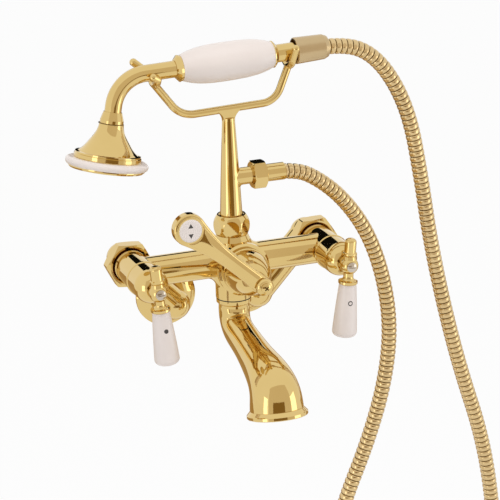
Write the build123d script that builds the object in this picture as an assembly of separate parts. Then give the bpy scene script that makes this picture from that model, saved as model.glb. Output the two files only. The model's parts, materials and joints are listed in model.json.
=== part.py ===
from build123d import *
import os
from math import cos, pi, radians, sin, sqrt, tan

# Wall mounted bath faucet with a hand shower on a cradle. Sizes are in millimetres.
# X runs towards the cold side, Y runs into the wall and Z runs up.
# The origin lies on the wall, midway between the two wall shanks.

# Layout
WALL_CENTRES = 85.7      # between the wall shanks
VALVE_CENTRES = 189.0    # between the valves
ARM_LENGTH = 75.5        # between the two elbows of a swing arm
ARM_OUT = 33.0           # swing arms, out from the wall
BAR_OUT = 84.0           # crossbar, riser and handset, out from the wall
OUTLET_RISE = 81.8       # hose outlet above the crossbar

# Fits
FIT = 0.05               # radial clearance of seated and running cylinders
GAP = 0.4                # room between pieces that move past each other
EDGE = 0.8               # broken edge of a turned piece
WATER_R = 7.0            # waterway through arms and barrels

# Wall shanks, gaskets and flanges
SHANK_R = 12.0
SOCKET_R = 9.3           # threaded socket for the supply pipe
SHANK_BEHIND = 40.0
SHANK_GRIP = 14.0        # length screwed into the swing arm
GASKET_R = 24.0
GASKET_T = 2.0
FLANGE_R = 30.4
FLANGE_T = 8.0
FLANGE_RIM = 2.6
FLANGE_TOP_R = 18.0
FLANGE_BULGE = 1.2       # crown of the flange over its straight taper

# Swing arms and their unions
ARM_R = 13.6
ELBOW_R = 14.8
STUB_R = 14.6
HEX_CORNER = 0.57        # turned corner of a hexagon, as a share of its width across flats
NUT_AF = 41.0            # across the flats
NUT_T = 14.0
NUT_LIP = 3.0
NUT_BEVEL = 2.2
NUT_SINK = 0.2           # nut over the back of the elbow
NUT_TURN = 3.0           # degrees, as tightened, outwards on both sides
SHOULDER_R = 15.4
SHOULDER_T = 3.0
WASHER_T = 2.0
WASHER_SLACK = 0.4
THREAD_R = 16.0
THREAD_SPARE = 1.0       # thread left bare beyond a nut

# Body
BAR_R = 14.5
BAR_BORE_R = 6.5
BARREL_R = 16.0
BARREL_FORE = 16.0       # barrel in front of the crossbar axis
THROAT_R = 14.2          # groove behind the barrel
THROAT_L = 2.4
PORT_R = 17.2            # spout port
PORT_DROP = 36.0         # spout port below the crossbar
PORT_BORE_R = 10.0
POST_TOP_R = 15.0
POST_TOP_RISE = 26.5     # foot of the riser nut above the crossbar
POST_TAPER = 5.0
SPIGOT_R = 13.5
SPIGOT_H = 7.5
RISER_BORE_R = 5.0
BOSS_R = 25.5            # diverter boss
BOSS_FORE = 34.0
BOSS_ROOT_R = 19.5
BOSS_ROOT_L = 14.0
BOSS_RING_T = 9.0
BOSS_BEVEL = 2.0
BODY_BLEND = 11.0         # cast fillet where the crossbar meets the post

# Valves
VALVE_BORE_R = 11.0
DISC_R = 9.6
DISC_T = 4.0
DISC_PORT_R = 2.6
DISC_BEHIND = 10.0       # seat of the fixed disc behind the crossbar axis
STEM_R = 5.0
STEM_TIP_R = 4.0
STEM_FLANGE_R = 9.0
STEM_FLANGE_T = 4.5
STEM_PAST = 1.0          # stem beyond the hub centre
RING_R = 0.8             # O-ring section
GROOVE_HALF = 1.2        # half the width of an O-ring groove
BEAD_R = 17.2
BEAD_T = 3.0
BONNET_R = 16.5
BONNET_L = 36.0
BONNET_NOSE_R = 8.4
BONNET_DOME = 14.0

# Lever hubs, porcelain levers and their screws
HUB_R = 8.8
HUB_FLAT = 7.0           # spot face for the screw, ahead of the hub centre
HUB_FOOT_R = 7.0         # shank of the hub over the stem
HUB_NECK_R = 4.8
FINIAL_R = 5.6
FINIAL_TOP = 26.3
FINIAL_BEAD = 1.2        # bead of the finial over its shaft
FINIAL_CROWN = 3.0
COLLAR_R = 9.2
COLLAR_T = 3.0
COLLAR_DROP = 18.0       # foot of the collar below the valve axis
COLLAR_FLARE = 4.5       # height of the flare from the collar to the neck
TANG_R = 3.0
TANG_L = 24.0
TANG_SPARE = 1.0         # hole deeper than the tang or screw in it
LEVER_TOP_R = 8.2
LEVER_END_R = 11.8
LEVER_DROP = 69.8        # lever end below the valve axis
LEVER_ROUND = 5.0
LEVER_LEAN = 5.0         # degrees towards the middle when shut
SCREW_R = 2.2
SCREW_HEAD_R = 4.8
SCREW_HEAD_T = 2.0
SCREW_RIM = 0.7
SCREW_GRIP = 9.0
SLOT_W = 1.2
SLOT_D = 1.1

# Diverter
ROTOR_R = 18.9
ROTOR_T = 18.0
ROTOR_DEPTH = 8.0        # rotor behind the front of the boss
ROTOR_PORT_R = 6.0
ROTOR_INLET_R = 8.0
SPINDLE_R = 6.0
SPINDLE_TIP_R = 4.5
CAP_R = 22.0
CAP_RIM = 3.0
CAP_H = 37.0
CAP_NOSE_R = 10.0
CAP_WAIST = 4.0          # dome inside the rim at about two thirds of its height
LEVER_REACH = 94.0
LEVER_ANGLE = 137.6      # degrees from the cold side, seen from the room
BLADE_STEP = 5.0         # back of the blade ahead of the back of its hub
BLADE_T = 9.0
BLADE_ROUND = 2.2
BLADE_ROOT = 8.0         # half widths of the blade, from the hub to the disc
BLADE_WAIST = 7.6
BLADE_NECK = 8.7
BLADE_DISC_R = 15.2
BLADE_JOIN = 105.0       # degrees round the disc where the sides meet it
LEVER_HUB_R = 8.4
LEVER_HUB_T = 19.0
LEVER_HUB_FOOT_R = 8.2
LEVER_HUB_CAP = 7.0      # hub in front of the spindle
LEVER_HUB_DOME = 5.0
BUTTON_R = 10.8
BUTTON_T = 3.6
BUTTON_PROUD = 0.8
BUTTON_ROUND = 2.5
RIM_W = 1.4              # raised rim round the button
RIM_H = 0.6

# Spout: corners of its centreline as (out, up) from the crossbar axis, the radius of its two
# bends, and its own radius at shares of the length
SPOUT_LINE = [(0, -45), (0, -65), (106, -89.5), (112.3, -118.3)]
SPOUT_BENDS = [18.0, 26.0]
SPOUT_SWELL = [(0, 14.8), (0.08, 14.8), (0.18, 14.9), (0.33, 15.5), (0.5, 17.0), (0.66, 19.7), (0.8, 22.6),
               (0.9, 24.6), (1, 25.4)]
SPOUT_WALL = 2.4
SPOUT_COLLAR_H = 5.4
SPOUT_COLLAR_BAND = 3.6
SPOUT_SPIGOT_H = 8.0
SPOUT_WASHER_T = 1.2
LIP_R = 28.6
LIP_H = 7.0
LIP_BEAD = 3.2           # height of the lip's widest band over the mouth

# Riser with its ball nut and side outlet
BALL_R = 17.3
BALL_AF = 31.2
BALL_H = 19.5
BALL_LOW = 0.45          # share of the nut below the middle of the ball
BALL_TURN = -20.0        # degrees, one flat to the front left
BALL_SINK = 1.6          # countersink round the riser
RISER_FOOT_R = 10.6
RISER_MID_R = 9.0
RISER_TOP_R = 6.1
RISER_RISE = 137.5       # top of the riser above the crossbar
RISER_LIP = 4.5
PEG_R = 3.4              # peg that carries the cradle
PEG_H = 6.5
OUTLET_R = 8.2
OUTLET_BLEND = 2.5
OUTLET_BORE_R = 4.6
OUTLET_THREAD_R = 9.6
OUTLET_REACH = 30.0
OUTLET_NUT_AF = 24.5
OUTLET_NUT_FACE = 34.2
OUTLET_NUT_T = 13.0
OUTLET_NUT_LIP = 2.4
OUTLET_NUT_BEVEL = 1.1
FERRULE_NECK_R = 7.6
FERRULE_R = 8.4
FERRULE_END = 54.3

# Cradle: bar height over the riser, handset axis over the bar, bends of the bar and its forks
BAR_ROD_R = 3.6
CRADLE_CUP_H = 11.2
CRADLE_CUP_R = 12.6
CRADLE_CUP_WAIST = 0.25  # share of the cup's height before it flares
CRADLE_FORK_H = 45.5
CRADLE_LEFT = -46.6      # where the bar turns up
CRADLE_RIGHT = 47.4
CRADLE_LEFT_BEND = 26.0
CRADLE_RIGHT_BEND = 20.0
FORK_OPEN = 25.0         # degrees below the tube axis where a prong leaves its half ring
FORK_LEFT = -71.0
FORK_RIGHT = 61.2
PRONG_LEFT_REAR = (-14.2, 7.2)   # tip from the tube axis, as (along the handset, up)
PRONG_LEFT_FRONT = (-4.6, -2.0)
PRONG_RIGHT_REAR = (1.4, 1.0)
PRONG_RIGHT_FRONT = (1.4, 6.3)

# Handset, along its axis from over the riser
HANDSET_TILT = 2.1       # degrees, hose end up
HANDSET_ROLL = 5.0       # degrees, head away from the wall
NECK_R = 7.8
NECK_BORE_R = 5.6
NECK_END = -80.2         # where the neck starts to bend
NECK_BEND = 33.3
NECK_TURN = 76.7         # degrees
NECK_DROP = 3.7          # straight neck from the bend to the head
NECK_GRIP = 3.5          # neck inside the front collar
COLLAR_FRONT = -51.0
GRIP_START = -45.0
GRIP_END = 44.5
GRIP_SWELL = [(0, 12.0), (0.17, 16.5), (0.37, 18.1), (0.57, 18.1), (0.84, 16.2), (1, 12.0)]
FRONT_COLLAR_R = 12.6
FRONT_COLLAR_TOP = 1.0   # front edge of the collar over the neck
FRONT_COLLAR_BAND = 2.6
REAR_COLLAR_T = 4.0
REAR_COLLAR_R = 12.7
TAIL_R = 8.4
TAIL_TUBE_R = 5.5
TAIL_BORE_R = 4.0
TAIL_END = 72.5
TAIL_THREAD_R = 7.5
TAIL_THREAD_L = 10.0
HANDSET_NUT_START = 67.2
HANDSET_NUT_R = 12.6
HANDSET_NUT_FORE_R = 11.8
HANDSET_NUT_MOUTH_R = 10.6
HANDSET_NUT_BEVEL = 3.8
HANDSET_NUT_END = 99.5
HANDSET_NUT_END_R = 10.2

# Shower head, along its own axis from the end of the neck's bend
HEAD_NUT = (1.5, 12.0)
HEAD_NUT_R = (8.6, 10.9)
HEAD_NUT_BAND = 3.0
BELL_TOP_R = 11.4
BELL_SPIGOT = 3.0
BELL_R = 31.2
BELL_STEP = 3.5          # shoulder of the bell inside its band
BELL_SWELL = [(0, 0), (0.29, 0.1), (0.65, 0.47), (1, 1)]   # shares of the flare's (height, widening)
BELL_BAND = (39.4, 48.2)
BELL_BEAD = 2.2
BELL_WALL = 2.6
RING_OUT_R = 38.4
RING_TOP = 45.5
RING_TOP_W = 3.0
RING_END = 52.5
RING_TURN = 2.2          # edge of the ring, turned in at its end
PLATE_R = 35.6
PLATE_T = 2.6
PLATE_RIM = 4.5
PLATE_SKIRT = 3.0
SPRAY_HOLE_R = 0.9
SPRAY_RING_R = [8.0, 15.0, 22.0]
SPRAY_COUNT = 6          # holes in the first ring, and as many more in each next one

# Hose: ribbed metal tube and its route as (x, z)
HOSE_R = 7.5
HOSE_GROOVE_R = 6.7
HOSE_BORE_R = 5.0
HOSE_RIBS = 160
HOSE_SEAT = 14.0         # length held straight in each end fitting
HOSE_ROUTE = [
    (89.4, 124.2), (114.5, 101.6), (138.9, 66), (155.7, 18), (163.3, -38), (156.4, -96), (137.2, -157),
    (110.2, -219), (90.5, -288), (93, -349), (124, -407), (179, -434), (235, -415), (271, -363),
    (279, -295), (274, -230), (262, -166), (239, -94), (220.5, -22), (206, 48), (196.2, 115),
    (184.9, 175.8), (164.8, 219), (140, 245.3),
]

# Distances out from the wall, along the shanks and valves
bar_z = sqrt(ARM_LENGTH**2 - ((VALVE_CENTRES - WALL_CENTRES) / 2)**2)
flange_front = GASKET_T + FLANGE_T
shank_front = flange_front + SHANK_GRIP
nut_back = ARM_OUT + ELBOW_R - NUT_SINK
nut_front = nut_back + NUT_T
shoulder_back = nut_back + NUT_LIP
washer_back = shoulder_back + SHOULDER_T
barrel_back = washer_back + WASHER_T
barrel_front = BAR_OUT + BARREL_FORE
disc_seat = BAR_OUT - DISC_BEHIND
disc_face = disc_seat + DISC_T
stem_back = disc_face + DISC_T
stem_shoulder = stem_back + STEM_FLANGE_T
bonnet_front = barrel_front + BONNET_L
hub_out = bonnet_front + GAP + HUB_R
spot_face = hub_out + HUB_FLAT
stem_front = hub_out + STEM_PAST
boss_front = BAR_OUT + BOSS_FORE
cap_front = boss_front + CAP_H
rotor_front = boss_front - ROTOR_DEPTH
rotor_back = rotor_front - ROTOR_T
diverter_back = cap_front + GAP
diverter_front = diverter_back + LEVER_HUB_T
spindle_front = diverter_front - LEVER_HUB_CAP

# Heights
port_z = bar_z - PORT_DROP
post_top = bar_z + POST_TOP_RISE
spigot_top = post_top + SPIGOT_H
ball_top = post_top + BALL_H
riser_seat = spigot_top + WASHER_T
riser_lip = ball_top - RISER_LIP
outlet_z = bar_z + OUTLET_RISE
riser_top = bar_z + RISER_RISE
cradle_z = riser_top + CRADLE_CUP_H
grip_z = cradle_z + CRADLE_FORK_H
tilt = radians(HANDSET_TILT)


# Frames: out from the wall, along the crossbar, up the post, along the handset
def from_wall(x, z):
    return Plane(origin=(x, 0, z), x_dir=(1, 0, 0), z_dir=(0, -1, 0))


def along_bar(z):
    return Plane(origin=(0, -BAR_OUT, z), x_dir=(0, 1, 0), z_dir=(1, 0, 0))


post = Plane(origin=(0, -BAR_OUT, 0), x_dir=(0, 1, 0), z_dir=(0, 0, 1))
level_hand = Plane(origin=(0, -BAR_OUT, grip_z), x_dir=(0, 1, 0), z_dir=(cos(tilt), 0, sin(tilt)))
hand = level_hand * Rot(0, 0, -HANDSET_ROLL)
lever_post = Plane(origin=(0, 0, hub_out), x_dir=(1, 0, 0), z_dir=(0, 1, 0))


# Forms that repeat
def turned(*profile):
    """Solid of revolution about Z from (radius, height) points."""
    return revolve(make_face(Plane.XZ * Polyline(*profile, close=True)), Axis.Z)


def turned_edges(*edges):
    """Solid of revolution about Z from lines and arcs drawn as (radius, height)."""
    return revolve(make_face([Plane.XZ * edge for edge in edges]), Axis.Z)


def tube(r_in, r_out, low, high):
    return turned((r_in, low), (r_out, low), (r_out, high), (r_in, high))


def rod(radius, low, high):
    return tube(0, radius, low, high)


def rod_between(start, end, radius):
    run = Vector(*end) - Vector(*start)
    return Plane(origin=start, z_dir=run) * rod(radius, 0, run.length)


def countersink(radius, depth, face):
    """Cone that opens a bore of this radius at its face."""
    return turned((0, face), (radius + depth, face), (radius, face - depth), (0, face - depth))


def o_ring(shaft_r, middle):
    """Ring of round section that fills a groove in a shaft."""
    section = Plane.XZ * Pos(shaft_r - RING_R, middle) * Circle(RING_R)
    return revolve(section, Axis.Z)


def hexagon(across_flats, low, high, bevel, turn=0):
    """Six sided nut blank with its corners turned off at both ends."""
    prism = extrude(RegularPolygon(across_flats / 2, 6, major_radius=False, rotation=turn), high - low)
    corner_r = across_flats * HEX_CORNER
    end_r = corner_r - 1.6 * bevel
    corners = turned((0, low), (end_r, low), (corner_r, low + bevel), (corner_r, high - bevel),
                     (end_r, high), (0, high))
    return Pos(0, 0, low) * prism & corners


def screw_blank(seat, foot):
    """Screw with a domed head on its seat and its shank down to its foot."""
    crown = seat + SCREW_HEAD_T
    return turned_edges(
        Polyline((0, crown), (0, foot), (SCREW_R, foot), (SCREW_R, seat), (SCREW_HEAD_R, seat),
                 (SCREW_HEAD_R, seat + SCREW_RIM)),
        ThreePointArc((SCREW_HEAD_R, seat + SCREW_RIM), (SCREW_HEAD_R * 0.6, crown - SCREW_RIM / 2),
                      (0, crown)),
    )


def blended(solid, radius):
    """Fillet on the curves where two round forms run into each other."""
    curves = [edge for edge in solid.edges() if edge.geom_type not in (GeomType.LINE, GeomType.CIRCLE)]
    return fillet(curves, radius)


# Wall fittings and swing arm of one side
def wall_side(side):
    shank_axis = from_wall(side * WALL_CENTRES / 2, 0)
    valve_axis = from_wall(side * VALVE_CENTRES / 2, bar_z)
    hole = SHANK_R + FIT
    gasket = tube(hole, GASKET_R, 0, GASKET_T)
    shank = turned((SOCKET_R, -SHANK_BEHIND), (SHANK_R, -SHANK_BEHIND), (SHANK_R, shank_front),
                   (WATER_R, shank_front), (WATER_R, flange_front), (SOCKET_R, flange_front))
    rim_top = GASKET_T + FLANGE_RIM
    bulge = ((FLANGE_R + FLANGE_TOP_R) / 2, (rim_top + flange_front) / 2 + FLANGE_BULGE)
    flange = turned_edges(
        Polyline((FLANGE_TOP_R, flange_front), (hole, flange_front), (hole, GASKET_T),
                 (FLANGE_R, GASKET_T), (FLANGE_R, rim_top)),
        ThreePointArc((FLANGE_R, rim_top), bulge, (FLANGE_TOP_R, flange_front)),
    )
    low = (side * WALL_CENTRES / 2, -ARM_OUT, 0)
    high = (side * VALVE_CENTRES / 2, -ARM_OUT, bar_z)
    arm = rod_between(low, high, ARM_R) + Pos(low) * Sphere(ELBOW_R) + Pos(high) * Sphere(ELBOW_R)
    arm += shank_axis * rod(STUB_R, flange_front, ARM_OUT)
    arm += valve_axis * (rod(ARM_R, ARM_OUT, washer_back) + rod(SHOULDER_R, shoulder_back, washer_back))
    arm -= shank_axis * rod(hole, flange_front, shank_front)
    arm -= shank_axis * rod(WATER_R, flange_front, ARM_OUT + WATER_R / 2)
    arm -= rod_between(low, high, WATER_R)
    arm -= valve_axis * rod(WATER_R, ARM_OUT - WATER_R / 2, washer_back)
    nut = hexagon(NUT_AF, nut_back, nut_front, NUT_BEVEL, side * NUT_TURN)
    nut -= rod(ARM_R + FIT, nut_back, shoulder_back)
    nut -= rod(THREAD_R + FIT, shoulder_back, nut_front)
    nut -= countersink(THREAD_R, NUT_BEVEL, nut_front)
    washer = tube(WATER_R + WASHER_T, SHOULDER_R - WASHER_SLACK, washer_back, barrel_back)
    return {
        "wall_gasket": shank_axis * gasket,
        "wall_flange": shank_axis * flange,
        "shank": shank_axis * shank,
        "swing_arm": arm,
        "union_nut": valve_axis * nut,
        "union_washer": valve_axis * washer,
    }


# Valve of one side: bonnet, ceramic discs, stem, lever hub, porcelain lever and screw
def valve_side(side):
    axis = from_wall(side * VALVE_CENTRES / 2, bar_z)
    leaning = axis * Rot(0, 0, -side * LEVER_LEAN)
    skirt_r = VALVE_BORE_R - FIT
    skirt_back = stem_shoulder + GAP
    bore = STEM_R + FIT
    bead_front = barrel_front + BEAD_T
    dome_back = bonnet_front - BONNET_DOME
    dome_mid = (BONNET_R - 0.30 * (BONNET_R - BONNET_NOSE_R), bonnet_front - 0.38 * BONNET_DOME)
    bonnet = turned_edges(
        Polyline((BONNET_NOSE_R, bonnet_front), (bore, bonnet_front), (bore, skirt_back),
                 (skirt_r, skirt_back), (skirt_r, barrel_front), (BEAD_R - EDGE, barrel_front),
                 (BEAD_R, barrel_front + EDGE), (BEAD_R, bead_front - EDGE),
                 (BONNET_R, bead_front), (BONNET_R, dome_back)),
        ThreePointArc((BONNET_R, dome_back), dome_mid, (BONNET_NOSE_R, bonnet_front)),
    )
    ports = [Pos(x * (DISC_R / 2), 0) * Circle(DISC_PORT_R) for x in (-1, 1)]
    fixed_disc = Pos(0, 0, disc_seat) * extrude(Circle(VALVE_BORE_R - FIT) - ports, DISC_T)
    turning_disc = Pos(0, 0, disc_face) * extrude(Circle(DISC_R) - Rot(0, 0, 90) * Sketch(ports), DISC_T)

    groove = (skirt_back + bonnet_front) / 2
    groove_r = STEM_R - 2 * RING_R - FIT
    tap_r = SCREW_R + FIT
    screw_foot = stem_front - SCREW_GRIP
    tap_foot = screw_foot - TANG_SPARE
    stem = turned(
        (0, stem_back), (STEM_FLANGE_R, stem_back), (STEM_FLANGE_R, stem_shoulder), (STEM_R, stem_shoulder),
        (STEM_R, groove - GROOVE_HALF), (groove_r, groove - GROOVE_HALF), (groove_r, groove + GROOVE_HALF),
        (STEM_R, groove + GROOVE_HALF), (STEM_R, bonnet_front + GAP), (STEM_TIP_R, bonnet_front + GAP),
        (STEM_TIP_R, stem_front), (tap_r, stem_front), (tap_r, tap_foot), (0, tap_foot),
    )
    collar_top = -COLLAR_DROP + COLLAR_T
    flare_top = collar_top + COLLAR_FLARE
    flare_mid = (HUB_NECK_R + 0.25 * (COLLAR_R - HUB_NECK_R), collar_top + 0.3 * COLLAR_FLARE)
    tang_foot = -COLLAR_DROP - TANG_L
    ball_low = sqrt(HUB_R**2 - HUB_NECK_R**2)
    root_r = FINIAL_R + EDGE
    ball_high = sqrt(HUB_R**2 - root_r**2)
    bead = FINIAL_R + FINIAL_BEAD
    bead_low = ball_high + FINIAL_CROWN + 2 * EDGE
    bead_high = bead_low + 2 * EDGE
    crown = FINIAL_TOP - FINIAL_CROWN
    hub = turned_edges(
        Polyline((0, FINIAL_TOP), (0, tang_foot), (TANG_R, tang_foot), (TANG_R, -COLLAR_DROP),
                 (COLLAR_R - EDGE, -COLLAR_DROP), (COLLAR_R, -COLLAR_DROP + EDGE), (COLLAR_R, collar_top)),
        ThreePointArc((COLLAR_R, collar_top), flare_mid, (HUB_NECK_R, flare_top)),
        Line((HUB_NECK_R, flare_top), (HUB_NECK_R, -ball_low)),
        ThreePointArc((HUB_NECK_R, -ball_low), (HUB_R, 0), (root_r, ball_high)),
        Polyline((root_r, ball_high), (FINIAL_R, ball_high + FINIAL_CROWN), (bead, bead_low),
                 (bead, bead_high), (FINIAL_R, bead_high + EDGE), (FINIAL_R, crown)),
        ThreePointArc((FINIAL_R, crown), (FINIAL_R * 0.8, FINIAL_TOP - 0.3 * FINIAL_CROWN),
                      (FINIAL_R * 0.4, FINIAL_TOP)),
        Line((FINIAL_R * 0.4, FINIAL_TOP), (0, FINIAL_TOP)),
    )
    hub = lever_post * hub + rod(HUB_FOOT_R, bonnet_front + GAP, hub_out)
    hub -= rod(STEM_TIP_R + FIT, bonnet_front, stem_front)
    hub -= rod(tap_r, stem_front, spot_face)
    hub -= rod(HUB_R, spot_face, hub_out + 2 * HUB_R)

    side_mid = ((LEVER_TOP_R + LEVER_END_R) / 2 + EDGE / 2, -(COLLAR_DROP + LEVER_DROP) / 2)
    shoulder = -LEVER_DROP + LEVER_ROUND
    foot_r = LEVER_END_R - 0.9 * LEVER_ROUND
    round_mid = (LEVER_END_R - 0.25 * LEVER_ROUND, -LEVER_DROP + 0.3 * LEVER_ROUND)
    lever = turned_edges(
        Polyline((0, -LEVER_DROP), (0, tang_foot - TANG_SPARE), (TANG_R + FIT, tang_foot - TANG_SPARE),
                 (TANG_R + FIT, -COLLAR_DROP), (LEVER_TOP_R, -COLLAR_DROP)),
        ThreePointArc((LEVER_TOP_R, -COLLAR_DROP), side_mid, (LEVER_END_R, shoulder)),
        ThreePointArc((LEVER_END_R, shoulder), round_mid, (foot_r, -LEVER_DROP)),
        Line((foot_r, -LEVER_DROP), (0, -LEVER_DROP)),
    )
    screw = screw_blank(spot_face, screw_foot)
    screw -= Pos(0, 0, spot_face + SCREW_HEAD_T) * Box(3 * SCREW_HEAD_R, SLOT_W, 2 * SLOT_D)
    return {
        "bonnet": axis * bonnet,
        "fixed_disc": axis * fixed_disc,
        "turning_disc": leaning * turning_disc,
        "stem": leaning * stem,
        "o_ring": leaning * o_ring(STEM_R, groove),
        "hub": leaning * hub,
        "lever": leaning * (lever_post * lever),
        "screw": leaning * screw,
    }


# Main body: crossbar, valve barrels, centre post and diverter boss, with their waterways
def main_body():
    barrel_axes = [from_wall(side * VALVE_CENTRES / 2, bar_z) for side in (-1, 1)]
    front = from_wall(0, bar_z)
    bar = along_bar(bar_z)
    half = VALVE_CENTRES / 2
    throat_back = nut_front + THREAD_SPARE
    throat_front = throat_back + EDGE + THROAT_L
    barrel = turned(
        (0, barrel_back), (THREAD_R, barrel_back), (THREAD_R, throat_back), (THROAT_R, throat_back + EDGE),
        (THROAT_R, throat_front), (BARREL_R, throat_front + EDGE), (BARREL_R, barrel_front),
        (0, barrel_front),
    )
    ring_back = boss_front - BOSS_RING_T
    boss = turned(
        (0, BAR_OUT), (BOSS_ROOT_R, BAR_OUT), (BOSS_ROOT_R, BAR_OUT + BOSS_ROOT_L),
        (BOSS_R - BOSS_BEVEL, ring_back), (BOSS_R, ring_back + BOSS_BEVEL),
        (BOSS_R, boss_front - BOSS_BEVEL),
        (BOSS_R - BOSS_BEVEL, boss_front), (0, boss_front),
    )
    neck_z = post_top - POST_TAPER
    neck = turned((0, neck_z), (PORT_R, neck_z), (POST_TOP_R, post_top), (SPIGOT_R, post_top),
                  (SPIGOT_R, spigot_top), (0, spigot_top))
    solid = blended(bar * rod(BAR_R, -half, half) + post * rod(PORT_R, port_z, neck_z), BODY_BLEND)
    solid += post * neck + front * boss
    for axis in barrel_axes:
        solid += axis * barrel
    for axis in barrel_axes:
        solid -= axis * (rod(VALVE_BORE_R, disc_seat, barrel_front) + rod(WATER_R, barrel_back, disc_seat))
    solid -= bar * rod(BAR_BORE_R, -half, half)
    solid -= front * rod(ROTOR_R + FIT, rotor_back, boss_front)
    solid -= post * (rod(PORT_BORE_R, port_z, bar_z) + rod(RISER_BORE_R, bar_z, spigot_top))
    return solid


# Diverter: cap, rotor, lever with its porcelain button and screw
def diverter():
    front = from_wall(0, bar_z)
    turned_lever = front * Rot(0, 0, LEVER_ANGLE)
    bore = SPINDLE_R + FIT
    rim = boss_front + CAP_RIM
    cap_mid = (CAP_R - CAP_WAIST, boss_front + CAP_H * 0.62)
    cap = turned_edges(
        Polyline((CAP_NOSE_R, cap_front), (bore, cap_front), (bore, rotor_front + GAP),
                 (ROTOR_R, rotor_front + GAP), (ROTOR_R, boss_front), (CAP_R, boss_front),
                 (CAP_R, rim - EDGE), (CAP_R - EDGE, rim)),
        ThreePointArc((CAP_R - EDGE, rim), cap_mid, (CAP_NOSE_R, cap_front)),
    )
    tap_r = SCREW_R + FIT
    screw_foot = spindle_front - SCREW_GRIP
    tap_foot = screw_foot - TANG_SPARE
    groove = (boss_front + cap_front) / 2
    groove_r = SPINDLE_R - 2 * RING_R - FIT
    rotor = turned(
        (0, rotor_back), (ROTOR_R, rotor_back), (ROTOR_R, rotor_front), (SPINDLE_R, rotor_front),
        (SPINDLE_R, groove - GROOVE_HALF), (groove_r, groove - GROOVE_HALF),
        (groove_r, groove + GROOVE_HALF),
        (SPINDLE_R, groove + GROOVE_HALF), (SPINDLE_R, diverter_back), (SPINDLE_TIP_R, diverter_back),
        (SPINDLE_TIP_R, spindle_front), (tap_r, spindle_front), (tap_r, tap_foot), (0, tap_foot),
    )
    rotor_middle = (rotor_back + rotor_front) / 2
    rotor -= rod(ROTOR_INLET_R, rotor_back, rotor_middle)
    rotor -= Plane(origin=(0, 0, rotor_middle), z_dir=(1, 0, 0)) * rod(ROTOR_PORT_R, 0, 2 * ROTOR_R)

    blade_back = diverter_back + BLADE_STEP
    blade_front = blade_back + BLADE_T
    join = (LEVER_REACH + BLADE_DISC_R * cos(radians(BLADE_JOIN)), BLADE_DISC_R * sin(radians(BLADE_JOIN)))
    join_way = (sin(radians(BLADE_JOIN)), -cos(radians(BLADE_JOIN)))
    upper = Spline((0, BLADE_ROOT), (LEVER_REACH * 0.33, BLADE_WAIST), (LEVER_REACH * 0.63, BLADE_NECK), join,
                   tangents=[(1, 0), join_way])
    lower = mirror(upper, Plane.XZ)
    end = ThreePointArc(join, (LEVER_REACH + BLADE_DISC_R, 0), (join[0], -join[1]))
    root = Line((0, BLADE_ROOT), (0, -BLADE_ROOT))
    blade = extrude(make_face([upper, end, lower, root]), BLADE_T)
    rounded = blade.faces().sort_by(Axis.Z)[-1].edges().filter_by(GeomType.LINE, reverse=True)
    blade = Pos(0, 0, blade_back) * fillet(rounded, BLADE_ROUND)
    dome_foot = diverter_front - LEVER_HUB_DOME
    dome_r = SCREW_HEAD_R + EDGE
    dome_mid = (dome_r + 0.7 * (LEVER_HUB_R - dome_r), diverter_front - 0.3 * LEVER_HUB_DOME)
    hub = turned_edges(
        Polyline((0, diverter_front), (0, diverter_back), (LEVER_HUB_FOOT_R, diverter_back),
                 (LEVER_HUB_R, diverter_back + EDGE), (LEVER_HUB_R, dome_foot)),
        ThreePointArc((LEVER_HUB_R, dome_foot), dome_mid, (dome_r, diverter_front)),
        Line((dome_r, diverter_front), (0, diverter_front)),
    )
    at_end = Pos(LEVER_REACH, 0, 0)
    lever = blade + hub + at_end * rod(BUTTON_R + RIM_W, blade_back, blade_front + RIM_H)
    lever -= rod(SPINDLE_TIP_R + FIT, diverter_back, spindle_front)
    lever -= rod(tap_r, spindle_front, diverter_front)
    crown = blade_front + RIM_H + BUTTON_PROUD
    pocket = crown - BUTTON_T
    lever -= at_end * rod(BUTTON_R + FIT, pocket, crown)
    button_mid = (BUTTON_R - 0.4 * BUTTON_ROUND, crown - 0.25 * BUTTON_PROUD)
    button = at_end * turned_edges(
        Polyline((0, crown), (0, pocket), (BUTTON_R, pocket), (BUTTON_R, blade_front + RIM_H)),
        ThreePointArc((BUTTON_R, blade_front + RIM_H), button_mid, (BUTTON_R - BUTTON_ROUND, crown)),
        Line((BUTTON_R - BUTTON_ROUND, crown), (0, crown)),
    )
    screw = screw_blank(diverter_front, screw_foot)
    slot = Box(SCREW_HEAD_R, SLOT_W, 2 * SLOT_D)
    for turn in (0, 90):
        screw -= Pos(0, 0, diverter_front + SCREW_HEAD_T) * Rot(0, 0, turn) * slot
    return {
        "diverter_cap": front * cap,
        "diverter_rotor": turned_lever * rotor,
        "diverter_o_ring": turned_lever * o_ring(SPINDLE_R, groove),
        "diverter_lever": turned_lever * lever,
        "diverter_button": turned_lever * button,
        "diverter_screw": turned_lever * screw,
    }


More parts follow.
